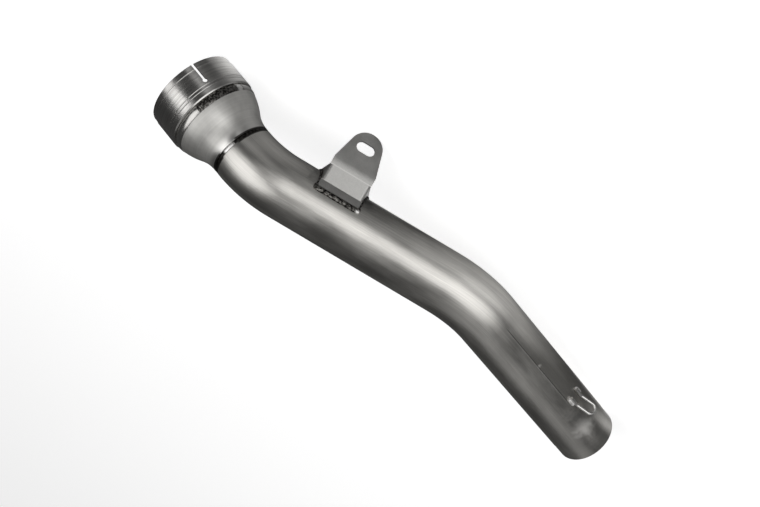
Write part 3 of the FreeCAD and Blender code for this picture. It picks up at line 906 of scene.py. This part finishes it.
def satin_sheet_finish():
    """Cold-rolled sheet, satin, with faint grain across the plate and small handling marks."""
    material, nodes, links, shader = metal("satin_sheet", (0.53, 0.525, 0.505), 0.40)
    coordinates = nodes.new("ShaderNodeTexCoord").outputs["Object"]
    grain = stretched_noise(nodes, links, coordinates, (220, 900, 900), 1.0, 3.0)
    speckle = stretched_noise(nodes, links, coordinates, (1, 1, 1), 1500.0, 3.0)
    marks = stretched_noise(nodes, links, coordinates, (1, 1, 1), 90.0, 4.0)
    tone = ramp(nodes, links, marks, [(0.35, (0.41, 0.405, 0.39)), (0.65, (0.48, 0.475, 0.46))])
    fine = ramp(nodes, links, speckle, [(0.3, 0.90), (0.7, 1.06)])
    colour = mixed(nodes, links, 1.0, tone, fine, "MULTIPLY")
    # A thin light line painted across the plate, all of it equally far from the tube's axis, is a painted
    # highlight.
    reach = nodes.new("ShaderNodeVectorMath")
    reach.operation = "SUBTRACT"
    links.new(coordinates, reach.inputs[0])
    reach.inputs[1].default_value = inlet_corner
    square = nodes.new("ShaderNodeVectorMath")
    square.operation = "CROSS_PRODUCT"
    links.new(reach.outputs["Vector"], square.inputs[0])
    square.inputs[1].default_value = middle_axis
    clear = nodes.new("ShaderNodeVectorMath")
    clear.operation = "LENGTH"
    links.new(square.outputs["Vector"], clear.inputs[0])
    off = math_node(nodes, links, "SUBTRACT", clear.outputs["Value"], highlight_line_distance)
    off = math_node(nodes, links, "DIVIDE", math_node(nodes, links, "ABSOLUTE", off), highlight_line_half)
    highlight_line = ramp(nodes, links, off, [(0.3, 0.30), (1.0, 0.0)])
    # The painted highlight line is mixed in here.
    colour = mixed(nodes, links, highlight_line, colour, (0.80, 0.79, 0.77))
    links.new(colour, shader.inputs["Base Color"])
    shader.inputs["Metallic"].default_value = 0.9
    rough = ramp(nodes, links, marks, [(0.3, 0.36), (0.7, 0.46)])
    links.new(rough, shader.inputs["Roughness"])
    normal = bump(nodes, links, grain, 0.00005, 0.2)
    normal = bump(nodes, links, speckle, 0.00004, 0.15, normal)
    links.new(normal, shader.inputs["Normal"])
    return material


bracket = merged_copy("hanger_bracket", "bracket_plate", sheet_edge_round)
bracket.data.materials.append(satin_sheet_finish())
bracket = made_real(bracket, "bracket_plate")
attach(bracket, "root")
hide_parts("hanger_bracket")


# Bracket welds. A rippled bead along the foot's front edge and one down the outside of
# each ear, ended with a blob at each front corner. They are left dark from the heat, but
# for a bright tack at the outlet corner.

bead_grid = 0.00028
front_bead_crown = 0.0023
side_bead_crown = 0.0017
corner_tack_back = 0.0008
corner_tack_half = 0.003


def seated_bead(node, name, foot, heading, around, crown):
    """A finely divided copy of a CAD bead on a straight run of tube. Its way along is
    counted from a foot on the tube's axis, or around the axis where that is asked."""
    mesh = frame["nodes"][node].data.copy()
    mesh.name = name
    mesh.materials.clear()
    piece = in_scene(name, mesh)
    fine = piece.modifiers.new("fine", "REMESH")
    fine.mode = "VOXEL"
    fine.voxel_size = bead_grid
    piece = made_real(piece, name)
    level = heading.cross(Vector((0, 0, 1))).normalized()
    rise = heading.cross(level)
    runs = []
    for vertex in piece.data.vertices:
        offset = vertex.co - foot
        out = offset - heading * offset.dot(heading)
        along = offset.dot(heading)
        if around:
            along = math.atan2(out.dot(rise), -out.dot(level)) * tube_radius
        height = (out.length - tube_radius) / crown
        runs.append((along, min(max(height, 0.0), 1.0), 0.0))
    keep_vectors(piece.data, "bead_run", runs)
    return piece


front_mesh = frame["nodes"]["bracket_front_weld"].data
front_runs = [(vertex.co - inlet_corner).dot(middle_axis) for vertex in front_mesh.vertices]
corner_tack = (max(front_runs) - corner_tack_back, corner_tack_half)
front_metal = weld_finish("front_weld", (0.012, 0.011, 0.01), (0.30, 0.29, 0.27), 0.36, corner_tack)
side_metal = weld_finish("side_weld", (0.012, 0.011, 0.01), (0.20, 0.19, 0.18), 0.36)
for node, name, around, crown, weld_metal in (
    ("bracket_front_weld", "front_bead", False, front_bead_crown, front_metal),
    ("bracket_inlet_side_weld", "inlet_side_bead", True, side_bead_crown, side_metal),
    ("bracket_outlet_side_weld", "outlet_side_bead", True, side_bead_crown, side_metal),
):
    bead = seated_bead(node, name, inlet_corner, middle_axis, around, crown)
    bead = rippled(bead, pitch=0.0013, depth=0.00036, bow=0.0012, seed=5.0, finish=weld_metal)
    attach(bead, "root")
    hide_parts(node)


# Spring hook. A loop of bright drawn wire whose two feet lie along the tube and whose
# eye stands off it, for the spring that holds the silencer on.

wire_radius = 0.0014
wire_sides = 28
hook_turn = math.radians(-175.4)
hook_station = 0.062
hook_spacing = 0.009
hook_foot_length = 0.009
hook_rise = math.radians(27)
hook_rise_length = 0.010
hook_bend_radius = 0.005
hook_bead_crown = 0.0021
hook_step = 0.0004

hook_out = outlet_toward * math.cos(hook_turn) + outlet_axis.cross(outlet_toward) * math.sin(hook_turn)
hook_side = outlet_axis.cross(hook_out)
half_spacing = hook_spacing / 2
foot_height = math.sqrt((tube_radius + wire_radius) ** 2 - half_spacing ** 2)
hook_start = outlet_end + hook_out * foot_height - outlet_axis * hook_station
rise_heading = outlet_axis * math.cos(hook_rise) + hook_out * math.sin(hook_rise)
first_bend = hook_start + outlet_axis * hook_foot_length
eye_reach = hook_bend_radius * math.tan(hook_rise / 2) + hook_rise_length + half_spacing
eye = first_bend + rise_heading * eye_reach
near, far = hook_side * -half_spacing, hook_side * half_spacing
hook_corners = [
    hook_start + near,
    first_bend + near,
    eye + near,
    eye + far,
    first_bend + far,
    hook_start + far,
]
# The eye's two arcs stay a hair apart, so that no two points of the route are one.
eye_radius = half_spacing * 0.9999
hook_radii = [hook_bend_radius, eye_radius, eye_radius, hook_bend_radius]
hook_route = filleted(hook_corners, hook_radii, hook_step)


def drawn_wire_finish():
    material, nodes, links, shader = metal("hook_wire", (0.80, 0.79, 0.77), 0.33)
    place = own_attribute(nodes, "straight_bar")
    drawn = stretched_noise(nodes, links, place, (120, 2400, 2400), 1.0, 2.0)
    tone = ramp(nodes, links, drawn, [(0.3, (0.70, 0.69, 0.67)), (0.7, (0.86, 0.85, 0.83))])
    links.new(tone, shader.inputs["Base Color"])
    links.new(bump(nodes, links, drawn, 0.00004, 0.3), shader.inputs["Normal"])
    return material


wire_widths = [1.0] * len(hook_route)
wire_metal = drawn_wire_finish()
hook = bar_along("hook_wire_loop", hook_route, wire_widths, wire_radius, wire_sides, True, wire_metal)
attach(hook, "root")
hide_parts("spring_hook")

# The hook's beads are painted near white and made only part metal: a painted highlight standing in for
# their glint.
hook_weld_glint_paint = weld_finish("hook_weld", (0.62, 0.61, 0.59), (0.97, 0.96, 0.94), 0.30)
hook_weld_glint_paint.node_tree.nodes["Principled BSDF"].inputs["Metallic"].default_value = 0.35
for node, name in (("hook_weld_near", "near_foot_bead"), ("hook_weld_far", "far_foot_bead")):
    bead = seated_bead(node, name, outlet_end, outlet_axis, False, hook_bead_crown)
    bead = rippled(bead, pitch=0.0013, depth=0.00022, bow=0.0008, seed=2.0, finish=hook_weld_glint_paint)
    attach(bead, "root")
    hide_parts(node)


# The floor, the lights and the camera. The pipe lies on a plain pale floor under soft
# lamps, seen from its front, a little above the floor, with the camera rolled far over.
# The floor itself looks evenly white. Its light reaches the metal only from a strip behind
# the pipe and from some pools.

floor_mesh = bpy.data.meshes.new("floor")
floor_half = 6.0
floor_glow = 0.76
corners = [(x * floor_half, y * floor_half, 0) for x, y in ((-1, -1), (1, -1), (1, 1), (-1, 1))]
floor_mesh.from_pydata(corners, [], [(0, 1, 2, 3)])
floor = in_scene("floor", floor_mesh)
floor_paint = bpy.data.materials.new("floor_paint")
floor_paint.use_nodes = True
nodes, links = floor_paint.node_tree.nodes, floor_paint.node_tree.links
floor_shader = nodes["Principled BSDF"]
floor_shader.inputs["Roughness"].default_value = 0.9
floor_shader.inputs["Specular IOR Level"].default_value = 0.1
floor_shader.inputs["Emission Color"].default_value = (1, 1, 1, 1)
seen = nodes.new("ShaderNodeLightPath").outputs["Is Camera Ray"]
links.new(mixed(nodes, links, seen, (0.2, 0.2, 0.2), (0.8, 0.8, 0.8)), floor_shader.inputs["Base Color"])
coordinates = nodes.new("ShaderNodeTexCoord").outputs["Object"]
split = nodes.new("ShaderNodeSeparateXYZ")
links.new(coordinates, split.inputs[0])
bowed = math_node(nodes, links, "MULTIPLY", split.outputs["X"], split.outputs["X"])
bowed = math_node(nodes, links, "MULTIPLY_ADD", bowed, 0.55, split.outputs["Y"])
bowed = math_node(nodes, links, "MULTIPLY_ADD", bowed, 1.6, 0.5)
lit = ramp(nodes, links, bowed, [(0.2, 0.0), (0.3, 0.8), (0.505, 0.8), (0.535, 0.0)])
onward = math_node(nodes, links, "MULTIPLY_ADD", split.outputs["X"], 2.0, 0.5)
lit = math_node(nodes, links, "MULTIPLY", lit, ramp(nodes, links, onward, [(0.36, 0.0), (0.44, 1.0)]))
for centre, reach, level in (
    ((0.08, 0.15, 0), 0.15, 1.0),
    ((-0.155, 0.042, 0), 0.075, 0.2),
    ((-0.205, -0.005, 0), 0.035, 0.8),
    ((0.238, 0.001, 0), 0.03, 0.5),
    ((-0.11, 0.15, 0), 0.06, 0.4),
    ((-0.40, 0.24, 0), 0.26, 0.6),
):
    stops = [(0.13, level), (0.5, level * 0.45), (1.0, 0.0)]
    pool = spread_from(nodes, links, coordinates, centre, reach, stops)
    lit = math_node(nodes, links, "MAXIMUM", lit, pool)
glow = mixed(nodes, links, seen, lit, (floor_glow, floor_glow, floor_glow))
links.new(glow, floor_shader.inputs["Emission Strength"])
floor_mesh.materials.append(floor_paint)

camera_right = Vector((0.72604, 0.44264, -0.52623))
camera_up = Vector((-0.66117, 0.23898, -0.71119))
camera_back = camera_right.cross(camera_up).normalized()
camera_place = Vector((-0.241838, 1.014708, 0.591614))
camera_data = bpy.data.cameras.new("camera")
camera_data.sensor_width = 36.0
camera_data.lens = 71.05
camera = in_scene("camera", camera_data)
axes = Matrix((camera_right, camera_up, camera_back)).transposed()
camera.matrix_world = Matrix.Translation(camera_place) @ axes.to_4x4()
bpy.context.scene.camera = camera


def lamp(name, toward, distance, width, height, radiance):
    """A soft lamp in some direction from the pipe, with the brightness of its face."""
    light = bpy.data.lights.new(name, "AREA")
    light.shape = "RECTANGLE"
    light.size = width
    light.size_y = height
    light.energy = radiance * math.pi * width * height
    holder = in_scene(name, light)
    toward = toward.normalized()
    holder.location = toward * distance + pipe_middle
    holder.rotation_euler = toward.to_track_quat("Z", "Y").to_euler()
    holder.visible_camera = False


pipe_middle = Vector((0, 0, 0.045))
for name, turn, rise, distance, width, height, radiance in (
    ("key", 75, 20, 1.7, 2.15, 1.58, 1.45),
    ("left", 156, 51, 1.3, 1.12, 1.25, 1.45),
    ("top", 8, 52, 1.3, 1.6, 0.9, 0.3),
):
    turn, rise = math.radians(turn), math.radians(rise)
    level = math.cos(rise)
    toward = Vector((level * math.cos(turn), level * math.sin(turn), math.sin(rise)))
    lamp(name, toward, distance, width, height, radiance)

sky = bpy.data.worlds.new("studio")
sky.use_nodes = True
nodes, links = sky.node_tree.nodes, sky.node_tree.links
split = nodes.new("ShaderNodeSeparateXYZ")
links.new(nodes.new("ShaderNodeTexCoord").outputs["Generated"], split.inputs[0])
shade = ramp(nodes, links, split.outputs["Z"], [(0.0, 0.065), (0.75, 0.045)])
links.new(shade, nodes["Background"].inputs["Color"])
bpy.context.scene.world = sky
bpy.context.scene.view_settings.view_transform = "Standard"
